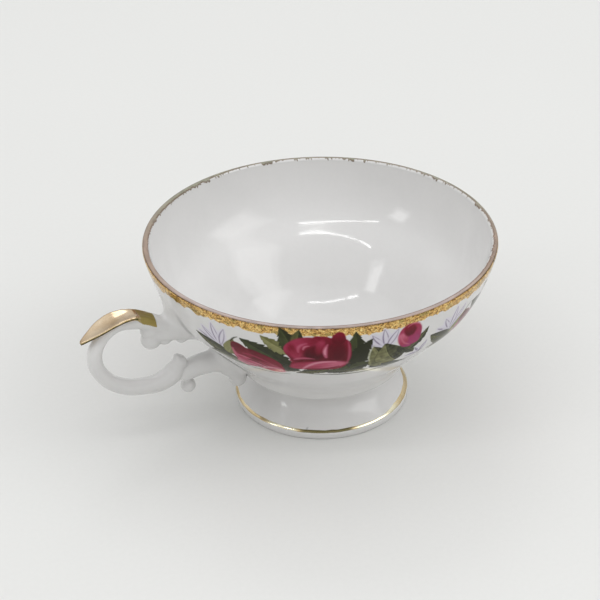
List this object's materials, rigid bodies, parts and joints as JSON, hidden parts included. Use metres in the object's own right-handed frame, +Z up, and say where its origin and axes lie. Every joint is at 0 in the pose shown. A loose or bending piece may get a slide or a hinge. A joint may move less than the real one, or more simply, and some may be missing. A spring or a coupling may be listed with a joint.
{
  "type": "teacup",
  "caption": "Wide flared porcelain teacup on a hollow flaring foot, with a double-scroll handle and thumb leaf, gilt edges and a rose-spray band.",
  "frame": {"origin": "middle of the bounding box's bottom, on the plane that the foot stands on, in the handle's own plane", "axes": "+Z up along the bowl's axis; the handle points along -X; the cup is mirror-symmetric about y = 0 apart from its painting"},
  "size_m": [0.1254, 0.102, 0.054],
  "materials": {
    "porcelain": "clear high-gloss glaze on white porcelain",
    "slip": "fired slip, glazed over",
    "gilding": "burnished bright gold film, worn on the lip",
    "painted_band": "on-glaze roses and leaves on white, fired to a gloss"
  },
  "bodies": {
    "root": {"bowl": "porcelain", "foot": "porcelain", "foot_slip_seam": "slip", "handle": "porcelain", "lower_slip_seam": "slip", "upper_slip_seam": "slip"}
  },
  "joints": []
}
